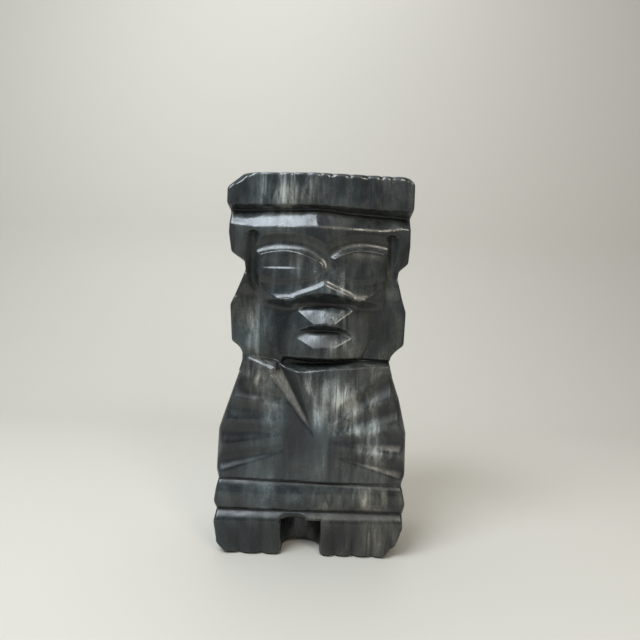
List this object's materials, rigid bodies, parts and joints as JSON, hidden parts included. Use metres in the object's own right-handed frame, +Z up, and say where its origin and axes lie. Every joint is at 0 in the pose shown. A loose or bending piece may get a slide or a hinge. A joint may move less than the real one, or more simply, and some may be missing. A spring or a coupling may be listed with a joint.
{
  "type": "carved stone idol figure",
  "caption": "Polished grey stone idol with a fluted crown, prow-shaped face, fanned finger grooves and two toed feet on felt pads; stands on a shelf.",
  "frame": {"origin": "on the surface that the figure stands on, under the middle of its bounding box", "axes": "+Z up through the crown, -Y towards the figure's front, +X to the viewer's right when facing the figure"},
  "size_m": [0.089, 0.05, 0.178],
  "materials": {
    "polished_stone": "high polish",
    "felt": "matte felt"
  },
  "bodies": {
    "root": {"stone_figure": "polished_stone", "front_left_pad": "felt", "front_right_pad": "felt", "rear_left_pad": "felt", "rear_right_pad": "felt"}
  },
  "joints": []
}
